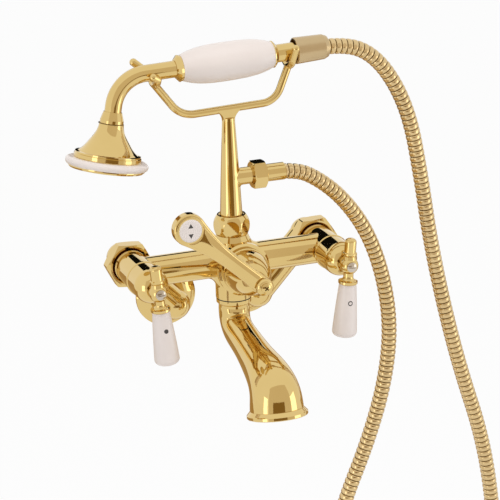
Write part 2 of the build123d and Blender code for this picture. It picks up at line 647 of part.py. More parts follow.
# Spout: hollow loft that swells towards its mouth, with a rolled lip
def spout_pieces():
    points = [(0, -BAR_OUT - out, bar_z + up) for out, up in SPOUT_LINE]
    line = FilletPolyline(*points, radius=SPOUT_BENDS)

    def station(share):
        distance = share * line.length
        here = line.position_at(distance, PositionMode.LENGTH)
        return Plane(origin=here, x_dir=(1, 0, 0), z_dir=line.tangent_at(distance, PositionMode.LENGTH))

    def skin(inset):
        return loft([station(share) * Circle(radius - inset) for share, radius in SPOUT_SWELL])

    root_r = SPOUT_SWELL[0][1]
    end_r = SPOUT_SWELL[-1][1]
    mouth_r = end_r - SPOUT_WALL
    lip = turned((mouth_r, -LIP_H), (end_r, -LIP_H), (LIP_R - EDGE, -LIP_BEAD - EDGE), (LIP_R, -LIP_BEAD),
                 (LIP_R, -EDGE), (LIP_R - EDGE, 0), (mouth_r, 0))
    top = port_z - SPOUT_WASHER_T
    foot = bar_z + SPOUT_LINE[0][1]
    spigot_r = PORT_BORE_R - FIT
    spigot_z = port_z + SPOUT_SPIGOT_H
    collar = turned((0, foot), (root_r, foot), (root_r, top - SPOUT_COLLAR_H),
                    (PORT_R - EDGE / 2, top - SPOUT_COLLAR_BAND), (PORT_R - EDGE / 2, top), (spigot_r, top),
                    (spigot_r, spigot_z), (0, spigot_z))
    spout = skin(0) + station(1) * lip + post * collar
    spout -= skin(SPOUT_WALL)
    spout -= post * rod(spigot_r - SPOUT_WALL, foot - SPOUT_WALL, spigot_z)
    washer = post * tube(PORT_BORE_R, PORT_R - EDGE, top, port_z)
    return {"spout": spout, "spout_washer": washer}


# Riser: ball nut, washer, and tapered pipe with its side outlet
def riser_pieces():
    ball = Pos(0, 0, post_top + BALL_H * BALL_LOW) * Sphere(BALL_R)
    flats = RegularPolygon(BALL_AF / 2, 6, major_radius=False, rotation=BALL_TURN)
    nut = ball & Pos(0, 0, post_top) * extrude(flats, BALL_H)
    nut -= rod(SPIGOT_R + FIT, post_top, riser_lip)
    nut -= rod(RISER_FOOT_R + FIT, riser_lip, ball_top)
    nut -= countersink(RISER_FOOT_R, BALL_SINK, ball_top)
    washer = tube(RISER_BORE_R + EDGE, SPIGOT_R - WASHER_SLACK, spigot_top, riser_seat)
    cone = turned((0, ball_top), (RISER_FOOT_R, ball_top), (RISER_MID_R, outlet_z), (RISER_TOP_R, riser_top),
                  (0, riser_top))
    seat = turned(
        (0, riser_seat), (SPIGOT_R, riser_seat), (SPIGOT_R, riser_lip), (RISER_FOOT_R, riser_lip),
        (RISER_FOOT_R, ball_top), (0, ball_top),
    )
    outlet = along_bar(outlet_z)
    thread_start = OUTLET_NUT_FACE - OUTLET_NUT_T - THREAD_SPARE
    riser = blended(post * cone + outlet * rod(OUTLET_R, 0, OUTLET_REACH), OUTLET_BLEND)
    riser += post * (seat + rod(PEG_R, riser_top, riser_top + PEG_H))
    riser += outlet * rod(OUTLET_THREAD_R, thread_start, OUTLET_REACH)
    riser -= post * rod(RISER_BORE_R, riser_seat, outlet_z + RISER_BORE_R)
    riser -= outlet * rod(OUTLET_BORE_R, 0, OUTLET_REACH)
    return {"riser_nut": Pos(0, -BAR_OUT, 0) * nut, "riser_washer": post * washer, "riser": riser}


# Cradle: a bent bar on a flared foot, with a two-pronged fork at each end
def handset_axis(x):
    return grip_z + x * tan(tilt)


def fork(x, seat_r, rear, front):
    """Half ring under the tube, and two prongs that run on from it and lean, with round tips."""
    reach = seat_r + GAP + BAR_ROD_R
    middle = handset_axis(x)
    open_angle = radians(FORK_OPEN)
    out = reach * cos(open_angle)
    drop = reach * sin(open_angle)
    ring = ThreePointArc((x, -BAR_OUT + out, middle - drop), (x, -BAR_OUT, middle - reach),
                         (x, -BAR_OUT - out, middle - drop))
    solid = sweep(Plane(origin=ring @ 0, z_dir=ring % 0) * Circle(BAR_ROD_R), ring)
    for way, (along, rise) in ((1, rear), (-1, front)):
        foot = (x, -BAR_OUT + way * out, middle - drop)
        spread = out + (rise + drop) * tan(open_angle)
        tip = (x + along, -BAR_OUT + way * spread, middle + rise)
        solid += Pos(foot) * Sphere(BAR_ROD_R + FIT)
        solid += rod_between(foot, tip, BAR_ROD_R) + Pos(tip) * Sphere(BAR_ROD_R + FIT)
    return solid


def cradle_piece():
    ends = [(x, -BAR_OUT, handset_axis(x) - seat_r - GAP - BAR_ROD_R)
            for x, seat_r in ((FORK_LEFT, NECK_R), (FORK_RIGHT, TAIL_R))]
    bends = [(x, -BAR_OUT, cradle_z + x * tan(tilt)) for x in (CRADLE_LEFT, CRADLE_RIGHT)]
    line = FilletPolyline(ends[0], *bends, ends[1], radius=[CRADLE_LEFT_BEND, CRADLE_RIGHT_BEND])
    solid = sweep(Plane(origin=line @ 0, z_dir=line % 0) * Circle(BAR_ROD_R), line)
    solid += fork(FORK_LEFT, NECK_R, PRONG_LEFT_REAR, PRONG_LEFT_FRONT)
    solid += fork(FORK_RIGHT, TAIL_R, PRONG_RIGHT_REAR, PRONG_RIGHT_FRONT)
    waist = riser_top + CRADLE_CUP_WAIST * CRADLE_CUP_H
    cup = turned_edges(
        Polyline((CRADLE_CUP_R, cradle_z), (0, cradle_z), (0, riser_top), (RISER_TOP_R, riser_top)),
        Spline((RISER_TOP_R, riser_top), (RISER_TOP_R + EDGE / 2, waist), (CRADLE_CUP_R, cradle_z),
               tangents=[(0, 1), (1, 1)]),
    )
    bar_slab = Pos(0, 0, cradle_z) * Box(2 * CRADLE_CUP_R, 2 * BAR_ROD_R, 2 * CRADLE_CUP_H)
    stem = rod(RISER_TOP_R, riser_top, waist)
    solid += Pos(0, -BAR_OUT, 0) * ((cup & bar_slab) + stem)
    return solid - post * rod(PEG_R + FIT, riser_top, riser_top + PEG_H + FIT)


# Hose fittings, and the ribbed hose along straight runs joined by tangent arcs
hose_start = FERRULE_END - HOSE_SEAT
hose_end = HANDSET_NUT_END - HOSE_SEAT


def hose_fittings():
    outlet = along_bar(outlet_z)
    back = OUTLET_NUT_FACE - OUTLET_NUT_T
    lip = OUTLET_NUT_FACE - OUTLET_NUT_LIP
    nut = hexagon(OUTLET_NUT_AF, back, OUTLET_NUT_FACE, OUTLET_NUT_BEVEL)
    nut -= rod(OUTLET_THREAD_R + FIT, back, lip)
    nut -= rod(FERRULE_NECK_R + FIT, lip, OUTLET_NUT_FACE)
    flange_r = OUTLET_THREAD_R - FIT
    socket_r = HOSE_R + FIT
    ferrule = turned(
        (HOSE_BORE_R, OUTLET_REACH), (flange_r, OUTLET_REACH), (flange_r, lip), (FERRULE_NECK_R, lip),
        (FERRULE_NECK_R, OUTLET_NUT_FACE), (FERRULE_R, OUTLET_NUT_FACE), (FERRULE_R, FERRULE_END - EDGE),
        (FERRULE_R - EDGE, FERRULE_END), (socket_r, FERRULE_END), (socket_r, hose_start),
        (HOSE_BORE_R, hose_start),
    )
    return {"outlet_nut": outlet * nut, "hose_ferrule": outlet * ferrule}


def hose_route():
    lead = HOSE_SEAT / 0.55
    tail = [(along * cos(tilt), grip_z + along * sin(tilt)) for along in (hose_end + lead, hose_end)]
    points = [(hose_start, outlet_z), (hose_start + lead, outlet_z), *HOSE_ROUTE, *tail]
    points = [Vector(x, -BAR_OUT, z) for x, z in points]
    radii = []
    for before, here, after in zip(points, points[1:], points[2:]):
        run_in = here - before
        run_out = after - here
        shorter = min(run_in.length, run_out.length)
        radii.append(0.45 * shorter / tan(radians(run_in.get_angle(run_out) / 2)))
    print("hose radii:", [round(radius) for radius in radii])
    return FilletPolyline(*points, radius=radii)


def hose_piece():
    route = hose_route()
    length = route.length
    pitch = length / HOSE_RIBS
    rib = [(0, HOSE_GROOVE_R), (0.12, HOSE_R), (0.78, HOSE_R), (0.9, HOSE_GROOVE_R)]

    def section(distance, radius):
        here = route.position_at(distance, PositionMode.LENGTH)
        ahead = route.tangent_at(distance, PositionMode.LENGTH)
        return Plane(origin=here, x_dir=(0, 1, 0), z_dir=ahead) * Circle(radius)

    ribs = [section((turn + share) * pitch, radius) for turn in range(HOSE_RIBS) for share, radius in rib]
    ribs.append(section(length, HOSE_GROOVE_R))
    bore = [section(turn * pitch, HOSE_BORE_R) for turn in range(HOSE_RIBS + 1)]
    hose = loft(ribs, ruled=True) - loft(bore, ruled=True)

    rib_area = pi * (0.78 * HOSE_R**2 + 0.22 * HOSE_GROOVE_R**2 - HOSE_BORE_R**2)
    print("hose length", round(length), "volume", round(hose.volume))
    print("hose section x length", round(rib_area * length))
    count = 300
    step = length / count
    places = [route.position_at(step * place, PositionMode.LENGTH) for place in range(count + 1)]
    apart = round(3 * pi * HOSE_R / step)
    nearest = min((places[place] - places[other]).length
                  for place in range(count + 1) for other in range(place - apart))
    print("hose least gap to itself", round(nearest - 2 * HOSE_R, 1))
    return hose


# Handset along its axis
def handset_pieces():
    inner = GRIP_START - NECK_GRIP
    tube_hole = TAIL_TUBE_R + FIT
    band = GRIP_START - FRONT_COLLAR_BAND
    front_collar = turned(
        (NECK_R + FIT, COLLAR_FRONT), (NECK_R + FRONT_COLLAR_TOP, COLLAR_FRONT), (FRONT_COLLAR_R, band),
        (FRONT_COLLAR_R - EDGE, GRIP_START), (tube_hole, GRIP_START), (tube_hole, inner),
        (NECK_R + FIT, inner),
    )
    length = GRIP_END - GRIP_START
    swell = [(radius, GRIP_START + length * share) for share, radius in GRIP_SWELL]
    grip = turned_edges(
        Spline(*swell),
        Polyline(swell[-1], (tube_hole, GRIP_END), (tube_hole, GRIP_START), swell[0]),
    )
    rear_face = GRIP_END + REAR_COLLAR_T
    rear_collar = turned(
        (tube_hole, GRIP_END), (REAR_COLLAR_R - EDGE, GRIP_END), (REAR_COLLAR_R, GRIP_END + EDGE),
        (REAR_COLLAR_R - EDGE, GRIP_END + 2 * EDGE), (TAIL_R + EDGE, rear_face), (tube_hole, rear_face),
    )
    thread_end = TAIL_END + TAIL_THREAD_L
    tail = turned(
        (TAIL_BORE_R, inner), (TAIL_TUBE_R, inner), (TAIL_TUBE_R, rear_face), (TAIL_R, rear_face),
        (TAIL_R, TAIL_END), (TAIL_THREAD_R, TAIL_END), (TAIL_THREAD_R, thread_end),
        (TAIL_BORE_R, thread_end),
    )
    socket_r = HOSE_R + FIT
    thread_r = TAIL_THREAD_R + FIT
    nut = turned(
        (HANDSET_NUT_MOUTH_R, HANDSET_NUT_START), (HANDSET_NUT_R - EDGE, HANDSET_NUT_START),
        (HANDSET_NUT_R, HANDSET_NUT_START + EDGE), (HANDSET_NUT_FORE_R, HANDSET_NUT_END - HANDSET_NUT_BEVEL),
        (HANDSET_NUT_END_R, HANDSET_NUT_END), (socket_r, HANDSET_NUT_END), (socket_r, hose_end),
        (HOSE_BORE_R, hose_end), (HOSE_BORE_R, thread_end), (thread_r, thread_end), (thread_r, TAIL_END),
        (HANDSET_NUT_MOUTH_R, TAIL_END),
    )
    along_hand = {
        "front_collar": front_collar,
        "grip": grip,
        "rear_collar": rear_collar,
        "handset_tail": tail,
        "handset_nut": nut,
        **head_pieces(inner),
    }
    return {name: hand * solid for name, solid in along_hand.items()}


# Bent neck and shower head, in the frame of the handset: across, up and along it
def head_pieces(neck_start):
    turn = radians(NECK_TURN)
    reach = NECK_BEND * tan(turn / 2)
    ahead = Vector(0, -sin(turn), -cos(turn))
    corner = Vector(0, 0, NECK_END - reach)
    head_base = corner + ahead * (reach + NECK_DROP)
    nut_top, nut_end = HEAD_NUT
    neck_end = nut_end - BELL_SPIGOT
    line = FilletPolyline(Vector(0, 0, neck_start), corner, head_base + ahead * neck_end, radius=NECK_BEND)
    neck = sweep(Plane(origin=line @ 0, z_dir=line % 0) * (Circle(NECK_R) - Circle(NECK_BORE_R)), line)

    nut_top_r, nut_end_r = HEAD_NUT_R
    nut_band = nut_end - HEAD_NUT_BAND
    head_nut = turned(
        (NECK_R + FIT, nut_top), (nut_top_r, nut_top), (nut_end_r, nut_band), (nut_end_r, nut_end),
        (NECK_R + FIT, nut_end),
    )
    band_top, band_end = BELL_BAND
    shoulder_r = BELL_R - BELL_STEP
    ledge_r = shoulder_r - BELL_WALL

    def flare(wall):
        wide = shoulder_r - BELL_TOP_R
        tall = band_top - nut_end
        points = [(BELL_TOP_R + wide * widening - wall, nut_end + tall * height + wall)
                  for height, widening in BELL_SWELL]
        return Spline(*points, tangents=[(0, 1), (1, 0.7)])

    bead_r = BELL_R - EDGE
    bead_end = band_top + BELL_BEAD
    bell = turned_edges(
        flare(0),
        Polyline((shoulder_r, band_top), (bead_r, band_top + EDGE / 2), (bead_r, bead_end - EDGE / 2),
                 (BELL_R, bead_end), (BELL_R, band_end), (ledge_r, band_end),
                 (ledge_r, band_top + BELL_WALL)),
        flare(BELL_WALL),
        Polyline((BELL_TOP_R - BELL_WALL, nut_end + BELL_WALL), (NECK_BORE_R, nut_end + BELL_WALL),
                 (NECK_BORE_R, neck_end), (NECK_R, neck_end), (NECK_R, nut_end), (BELL_TOP_R, nut_end)),
    )
    head_ring = turned_edges(
        Line((BELL_R + FIT, RING_TOP), (BELL_R + RING_TOP_W, RING_TOP)),
        ThreePointArc((BELL_R + RING_TOP_W, RING_TOP), (RING_OUT_R, (RING_TOP + RING_END) / 2 + EDGE),
                      (RING_OUT_R - RING_TURN, RING_END)),
        Polyline((RING_OUT_R - RING_TURN, RING_END), (ledge_r, RING_END), (ledge_r, band_end),
                 (BELL_R + FIT, band_end), (BELL_R + FIT, RING_TOP)),
    )
    plate_face = RING_END + PLATE_T
    plate = turned(
        (0, RING_END), (PLATE_R, RING_END), (PLATE_R, plate_face - 2 * EDGE),
        (PLATE_R - 2 * EDGE, plate_face), (PLATE_R - PLATE_RIM, plate_face),
        (PLATE_R - PLATE_RIM - EDGE, plate_face - EDGE), (0, plate_face - EDGE),
    )
    plate += tube(ledge_r - PLATE_SKIRT, ledge_r - FIT, band_end, RING_END)
    for ring, ring_r in enumerate(SPRAY_RING_R, 1):
        count = SPRAY_COUNT * ring
        for hole in range(count):
            place = Rot(0, 0, 360 * hole / count) * Pos(ring_r, 0, 0)
            plate -= place * rod(SPRAY_HOLE_R, RING_END, plate_face)
    head = Plane(origin=head_base, x_dir=(1, 0, 0), z_dir=ahead)
    return {
        "neck": neck,
        "head_nut": head * head_nut,
        "bell": head * bell,
        "head_ring": head * head_ring,
        "spray_plate": head * plate,
    }


# Build every piece and write one file for each
pieces = {"body": main_body()}
for name, side in (("hot", -1), ("cold", 1)):
    for piece, solid in {**wall_side(side), **valve_side(side)}.items():
        pieces[f"{name}_{piece}"] = solid
pieces.update(diverter())
pieces.update(spout_pieces())
pieces.update(riser_pieces())
pieces["cradle"] = cradle_piece()
pieces.update(hose_fittings())
pieces["hose"] = hose_piece()
pieces.update(handset_pieces())

os.makedirs("parts", exist_ok=True)
for name, solid in pieces.items():
    export_step(solid, f"parts/{name}.step")
print(len(pieces), "pieces")
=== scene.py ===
import json
import bpy
from bisect import bisect_left
from itertools import accumulate
from math import cos, pi, radians, sin
from mathutils import Matrix, Vector


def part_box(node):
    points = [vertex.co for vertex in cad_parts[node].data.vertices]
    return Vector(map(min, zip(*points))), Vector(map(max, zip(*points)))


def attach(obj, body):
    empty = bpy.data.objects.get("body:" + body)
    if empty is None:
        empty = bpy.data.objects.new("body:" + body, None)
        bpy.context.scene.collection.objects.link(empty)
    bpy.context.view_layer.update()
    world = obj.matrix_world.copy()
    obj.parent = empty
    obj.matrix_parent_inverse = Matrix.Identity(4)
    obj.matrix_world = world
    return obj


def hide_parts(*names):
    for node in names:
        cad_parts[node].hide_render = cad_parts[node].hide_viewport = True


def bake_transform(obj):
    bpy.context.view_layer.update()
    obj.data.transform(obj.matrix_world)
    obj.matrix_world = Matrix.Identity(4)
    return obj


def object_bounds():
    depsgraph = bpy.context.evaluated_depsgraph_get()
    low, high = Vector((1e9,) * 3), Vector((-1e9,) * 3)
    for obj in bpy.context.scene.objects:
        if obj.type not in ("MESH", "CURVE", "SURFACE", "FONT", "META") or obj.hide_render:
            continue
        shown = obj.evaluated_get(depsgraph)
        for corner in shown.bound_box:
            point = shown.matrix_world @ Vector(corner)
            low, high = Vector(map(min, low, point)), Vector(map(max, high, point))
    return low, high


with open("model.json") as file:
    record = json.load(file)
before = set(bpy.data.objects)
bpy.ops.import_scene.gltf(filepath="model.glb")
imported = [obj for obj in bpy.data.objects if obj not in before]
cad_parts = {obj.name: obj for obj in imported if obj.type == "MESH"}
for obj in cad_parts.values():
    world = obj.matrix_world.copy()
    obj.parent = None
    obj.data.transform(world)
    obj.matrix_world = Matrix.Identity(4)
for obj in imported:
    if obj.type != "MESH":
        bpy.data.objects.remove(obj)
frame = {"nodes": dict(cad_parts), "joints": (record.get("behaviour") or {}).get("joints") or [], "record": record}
cad_low, cad_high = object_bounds()
nodes = frame["nodes"]
scene = bpy.context.scene

# Camera: angle, roll, distance and aim point of the photograph
AZIMUTH = radians(19.83)
ELEVATION = radians(18.33)
ROLL = radians(-1.60)
DISTANCE = 2.200
AIM = Vector((0.0171, -0.0860, 0.0631))
FOCAL_PIXELS = 2307.8
IMAGE_PIXELS = 500
SENSOR = 36.0
CLIP_END = 50.0


def make_camera():
    level_back = Vector((-sin(AZIMUTH), -cos(AZIMUTH), 0))
    level_right = Vector((cos(AZIMUTH), -sin(AZIMUTH), 0))
    back = cos(ELEVATION) * level_back + sin(ELEVATION) * Vector((0, 0, 1))
    level_up = back.cross(level_right)
    right = cos(ROLL) * level_right + sin(ROLL) * level_up
    up = cos(ROLL) * level_up - sin(ROLL) * level_right
    data = bpy.data.cameras.new("camera")
    data.sensor_width = SENSOR
    data.lens = SENSOR * FOCAL_PIXELS / IMAGE_PIXELS
    data.clip_end = CLIP_END
    camera = bpy.data.objects.new("camera", data)
    turn = Matrix((right, up, back)).transposed().to_4x4()
    camera.matrix_world = Matrix.Translation(AIM + DISTANCE * back) @ turn
    scene.collection.objects.link(camera)
    scene.camera = camera


make_camera()


# Meshes
def angles(count):
    """Angles evenly round a circle."""
    return [2 * pi * index / count for index in range(count)]


def grid_faces(rows, columns, round_columns=False, round_rows=False):
    """Quads of a grid of points that is numbered row by row.

    Where it goes round, the last column, or the last row, is joined to the first.
    """
    count = rows * columns
    faces = []
    for row in range(rows if round_rows else rows - 1):
        for column in range(columns if round_columns else columns - 1):
            a = row * columns + column
            b = row * columns + (column + 1) % columns
            faces.append((a, b, (b + columns) % count, (a + columns) % count))
    return faces


def closed_sheet(faces, count):
    """Faces of a sheet of so many points, of its back, and of the walls along its open edges.

    The points of the back follow those of the front in the same order.
    """
    edges = [edge for face in faces for edge in zip(face, face[1:] + face[:1])]
    known = set(edges)
    back = [tuple(index + count for index in reversed(face)) for face in faces]
    walls = [(b, a, a + count, b + count) for a, b in edges if (b, a) not in known]
    return faces + back + walls


def new_object(name, vertices, faces, smooth=0):
    """A mesh object. Its first faces, as many as smooth says, are shaded round and the rest flat."""
    mesh = bpy.data.meshes.new(name)
    mesh.from_pydata([tuple(vertex) for vertex in vertices], [], faces)
    mesh.update()
    mesh.polygons.foreach_set("use_smooth", [index < smooth for index in range(len(faces))])
    piece = bpy.data.objects.new(name, mesh)
    scene.collection.objects.link(piece)
    return piece


# Hose: the route of the solid in metres, as control points of one smooth spline
HOSE_Y = -0.084
HOSE_R = 0.0075
HOSE_GROOVE_R = 0.0066
HOSE_PITCH = 0.0056
HOSE_SIDES = 32
LINE_STEPS = 40                          # points of the smooth line for each run of the route
RIB = [                                  # how far along one rib, and how far out of its groove, as shares
    (0.0, 0.0), (0.085, 0.0), (0.15, 0.74), (0.28, 0.95),
    (0.5, 1.0), (0.72, 0.95), (0.85, 0.74), (0.915, 0.0),
]
ROUTE = [                                # x and z
    (0.0403, 0.1369), (0.0658, 0.1369), (0.0894, 0.1242), (0.1145, 0.1016), (0.1389, 0.0660),
    (0.1557, 0.0180), (0.1633, -0.0380), (0.1564, -0.0960), (0.1372, -0.1570), (0.1102, -0.2190),
    (0.0905, -0.2880), (0.0930, -0.3490), (0.1240, -0.4070), (0.1790, -0.4340), (0.2350, -0.4150),
    (0.2710, -0.3630), (0.2790, -0.2950), (0.2740, -0.2300), (0.2620, -0.1660), (0.2390, -0.0940),
    (0.2205, -0.0220), (0.2060, 0.0480), (0.1962, 0.1150), (0.1849, 0.1758), (0.1648, 0.2190),
    (0.1400, 0.2453), (0.1109, 0.2533), (0.0854, 0.2524),
]


def spline_points(route):
    """Points along the smooth line that has the given control points."""
    curve = bpy.data.curves.new("hose_line", "CURVE")
    curve.dimensions = "3D"
    curve.resolution_u = LINE_STEPS
    spline = curve.splines.new("NURBS")
    spline.points.add(len(route) - 1)
    for point, (x, z) in zip(spline.points, route):
        point.co = (x, HOSE_Y, z, 1)
    spline.order_u = 3
    spline.use_endpoint_u = True
    holder = bpy.data.objects.new("hose_line", curve)
    scene.collection.objects.link(holder)
    bpy.context.view_layer.update()
    drawn = holder.evaluated_get(bpy.context.evaluated_depsgraph_get())
    mesh = bpy.data.meshes.new_from_object(drawn)
    line = [vertex.co.copy() for vertex in mesh.vertices]
    bpy.data.objects.remove(holder)
    bpy.data.curves.remove(curve)
    bpy.data.meshes.remove(mesh)
    return line


def walk(line):
    """A function that gives the point at a distance along a line of points, and the line's length."""
    reached = [0.0, *accumulate((b - a).length for a, b in zip(line, line[1:]))]

    def place(distance):
        distance = min(max(distance, 0), reached[-1])
        step = max(bisect_left(reached, distance), 1)
        share = (distance - reached[step - 1]) / (reached[step] - reached[step - 1])
        return line[step - 1].lerp(line[step], share)

    return place, reached[-1]


def make_hose():
    """Metal hose of rounded ribs, and the material of each of its faces: 0 on ribs, 1 in grooves, which take
    painted shade.
    """
    line = spline_points(ROUTE)
    place, total = walk(line)
    ribs = round(total / HOSE_PITCH)
    pitch = total / ribs
    stations = [((rib + share) * pitch, swell) for rib in range(ribs) for share, swell in RIB]
    stations.append((total, 0.0))
    across = Vector((0, 1, 0))
    vertices = []
    for distance, swell in stations:
        here = place(distance)
        ahead = (place(distance + pitch / 2) - place(distance - pitch / 2)).normalized()
        normal = across.cross(ahead).normalized()
        radius = HOSE_GROOVE_R + (HOSE_R - HOSE_GROOVE_R) * swell
        for turn in angles(HOSE_SIDES):
            vertices.append(here + radius * (cos(turn) * normal + sin(turn) * across))
    first_end = tuple(reversed(range(HOSE_SIDES)))
    last_end = tuple(range(len(vertices) - HOSE_SIDES, len(vertices)))
    faces = grid_faces(len(stations), HOSE_SIDES, round_columns=True) + [first_end, last_end]
    bands = [1 if a == b == 0 else 0 for (_, a), (_, b) in zip(stations, stations[1:])]
    materials = [band for band in bands for _ in range(HOSE_SIDES)] + [0, 0]
    piece = new_object("ribbed_hose", vertices, faces, smooth=len(faces))
    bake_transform(piece)
    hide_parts("hose")
    return piece, materials


hose, hose_materials = make_hose()

# Materials: scales are cells of noise to a metre, and depths are in metres
CLOUD_SCALE = 28.0
POLISH_SCALE = 60.0
POLISH_DETAIL = 6.0
FINE_DETAIL = 2.0
GRAIN_DEPTH = 0.0002
# Painted shade: a dark colour multiplied into metal in seams, slots and inner corners, darkest where little open
# sky is seen
PAINTED_SHADE_COLOUR = (0.38, 0.24, 0.10)
SHADE_FULL = 0.25          # share of open sky in a corner where the painted shade is full
SHADE_NONE = 0.62          # and where it has faded out
CORNER_RAYS = 8
GLAZE_ROUGHNESS = 0.38
GLAZE_COAT = 0.3
GLAZE_COAT_ROUGHNESS = 0.1
GLAZE_CLOUD_SCALE = 18.0
GLAZE_WAVE_SCALE = 30.0
GLAZE_WAVE = 0.01
GLAZE_WAVE_DEPTH = 0.0008
GRIT_SCALE = 700.0
GRIT_DEPTH = 0.0003


def new_material(name):
    material = bpy.data.materials.new(name)
    material.use_nodes = True
    tree = material.node_tree
    return material, tree, tree.nodes["Principled BSDF"]


def noise(tree, scale, detail=4.0, stretch=(1, 1, 1)):
    """Noise in the object's own coordinates, so that it is fixed to the piece."""
    coordinates = tree.nodes.new("ShaderNodeTexCoord")
    mapping = tree.nodes.new("ShaderNodeMapping")
    mapping.inputs["Scale"].default_value = stretch
    texture = tree.nodes.new("ShaderNodeTexNoise")
    texture.inputs["Scale"].default_value = scale
    texture.inputs["Detail"].default_value = detail
    tree.links.new(coordinates.outputs["Object"], mapping.inputs["Vector"])
    tree.links.new(mapping.outputs["Vector"], texture.inputs["Vector"])
    return texture.outputs["Fac"]


def ramp(tree, source, low, high, start=0.3, end=0.7):
    """Blend from one colour to another where the source runs from start to end."""
    node = tree.nodes.new("ShaderNodeValToRGB")
    for element, position, colour in zip(node.color_ramp.elements, (start, end), (low, high)):
        element.position = position
        element.color = (*colour, 1)
    tree.links.new(source, node.inputs["Fac"])
    return node.outputs["Color"]


def grey(value):
    return (value, value, value)


def bump(tree, shader, source, strength, depth):
    node = tree.nodes.new("ShaderNodeBump")
    node.inputs["Strength"].default_value = strength
    node.inputs["Distance"].default_value = depth
    tree.links.new(source, node.inputs["Height"])
    tree.links.new(node.outputs["Normal"], shader.inputs["Normal"])


def with_painted_corner_shade(tree, colour, reach):
    """The same colour, darkened with painted shade in seams, slots and inner corners that are within reach of a
    wall.
    """
    shelter = tree.nodes.new("ShaderNodeAmbientOcclusion")
    shelter.samples = CORNER_RAYS
    shelter.inputs["Distance"].default_value = reach
    corner_shade = ramp(tree, shelter.outputs["AO"], PAINTED_SHADE_COLOUR, grey(1.0), SHADE_FULL, SHADE_NONE)
    multiply = tree.nodes.new("ShaderNodeMixRGB")
    multiply.blend_type = "MULTIPLY"
    multiply.inputs["Fac"].default_value = 1.0
    tree.links.new(colour, multiply.inputs["Color1"])
    tree.links.new(corner_shade, multiply.inputs["Color2"])
    return multiply.outputs["Color"]


def metal(name, low, high, roughness, grain, grain_scale=900.0, stretch=(1, 1, 1), reach=0.0022):
    """Metal with faint clouds of colour and polish, a fine grain, and painted shade in its corners."""
    material, tree, shader = new_material(name)
    shader.inputs["Metallic"].default_value = 1.0
    colour = ramp(tree, noise(tree, CLOUD_SCALE), low, high)
    smoothest, roughest = roughness
    polish = ramp(tree, noise(tree, POLISH_SCALE, POLISH_DETAIL), grey(smoothest), grey(roughest))
    tree.links.new(with_painted_corner_shade(tree, colour, reach), shader.inputs["Base Color"])
    tree.links.new(polish, shader.inputs["Roughness"])
    bump(tree, shader, noise(tree, grain_scale, FINE_DETAIL, stretch), grain, GRAIN_DEPTH)
    return material


def porcelain(name, low, high):
    """Glazed ceramic with a clear coat and a faint unevenness."""
    material, tree, shader = new_material(name)
    shader.inputs["Roughness"].default_value = GLAZE_ROUGHNESS
    shader.inputs["Coat Weight"].default_value = GLAZE_COAT
    shader.inputs["Coat Roughness"].default_value = GLAZE_COAT_ROUGHNESS
    tree.links.new(ramp(tree, noise(tree, GLAZE_CLOUD_SCALE), low, high), shader.inputs["Base Color"])
    bump(tree, shader, noise(tree, GLAZE_WAVE_SCALE, FINE_DETAIL), GLAZE_WAVE, GLAZE_WAVE_DEPTH)
    return material


def matte(name, low, high, cloud_scale, roughness, grit):
    """Rubber or print with clouds of colour and a fine grit."""
    material, tree, shader = new_material(name)
    shader.inputs["Roughness"].default_value = roughness
    tree.links.new(ramp(tree, noise(tree, cloud_scale), low, high), shader.inputs["Base Color"])
    bump(tree, shader, noise(tree, GRIT_SCALE), grit, GRIT_DEPTH)
    return material


brass = metal("polished_brass", (0.70, 0.51, 0.20), (0.735, 0.54, 0.22), (0.035, 0.06), grain=0.012)
satin = metal("satin_brass", (0.55, 0.41, 0.22), (0.60, 0.45, 0.25), (0.26, 0.34),
              grain=0.04, grain_scale=500.0, stretch=(6, 1, 1))
rib_brass = metal("hose_brass", (0.67, 0.49, 0.245), (0.73, 0.54, 0.275), (0.15, 0.22),
                  grain=0.03, grain_scale=700.0)
# Painted shade: a near-black brass for the hose grooves, the cross of the diverter screw and the seam under the
# head nut
painted_shade_brass = metal("hose_groove_painted_shade", (0.11, 0.06, 0.018), (0.17, 0.10, 0.03), (0.35, 0.5),
                     grain=0.1, grain_scale=700.0)
nickel = metal("screw_nickel", (0.56, 0.49, 0.40), (0.64, 0.57, 0.48), (0.14, 0.22),
               grain=0.06, grain_scale=600.0, reach=0.0012)
white = porcelain("white_porcelain", (0.875, 0.775, 0.72), (0.90, 0.805, 0.75))
ceramic = porcelain("disc_ceramic", (0.62, 0.60, 0.57), (0.70, 0.68, 0.65))
black_rubber = matte("black_rubber", grey(0.012), grey(0.03), cloud_scale=120.0, roughness=0.6, grit=0.2)
dark_print = matte("dark_print", (0.05, 0.045, 0.04), (0.08, 0.07, 0.065),
                   cloud_scale=300.0, roughness=0.35, grit=0.05)

SLOT_MATERIALS = {
    "brass": brass, "hose": rib_brass, "porcelain": white, "disc": ceramic, "rubber": black_rubber,
}
NODE_MATERIALS = {"handset_nut": satin, "hot_screw": nickel, "cold_screw": nickel}


def dress(piece, *materials):
    piece.data.materials.clear()
    for material in materials:
        piece.data.materials.append(material)


for part in frame["record"]["subparts"]:
    name = part["node"]
    dress(nodes[name], NODE_MATERIALS.get(name, SLOT_MATERIALS[part["material_slot"]]))
# The grooves of the hose take the painted shade
dress(hose, rib_brass, painted_shade_brass)
hose.data.polygons.foreach_set("material_index", hose_materials)

# Small pieces that lie on the solids
RAY_LEAD = 0.1               # how far in front of the object a ray towards it starts


def joint_place(name):
    joint = next(joint for joint in frame["joints"] if joint["name"] == name)
    return Vector(joint["pos_m"])


def middle_of(node):
    low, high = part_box(node)
    return (low + high) / 2


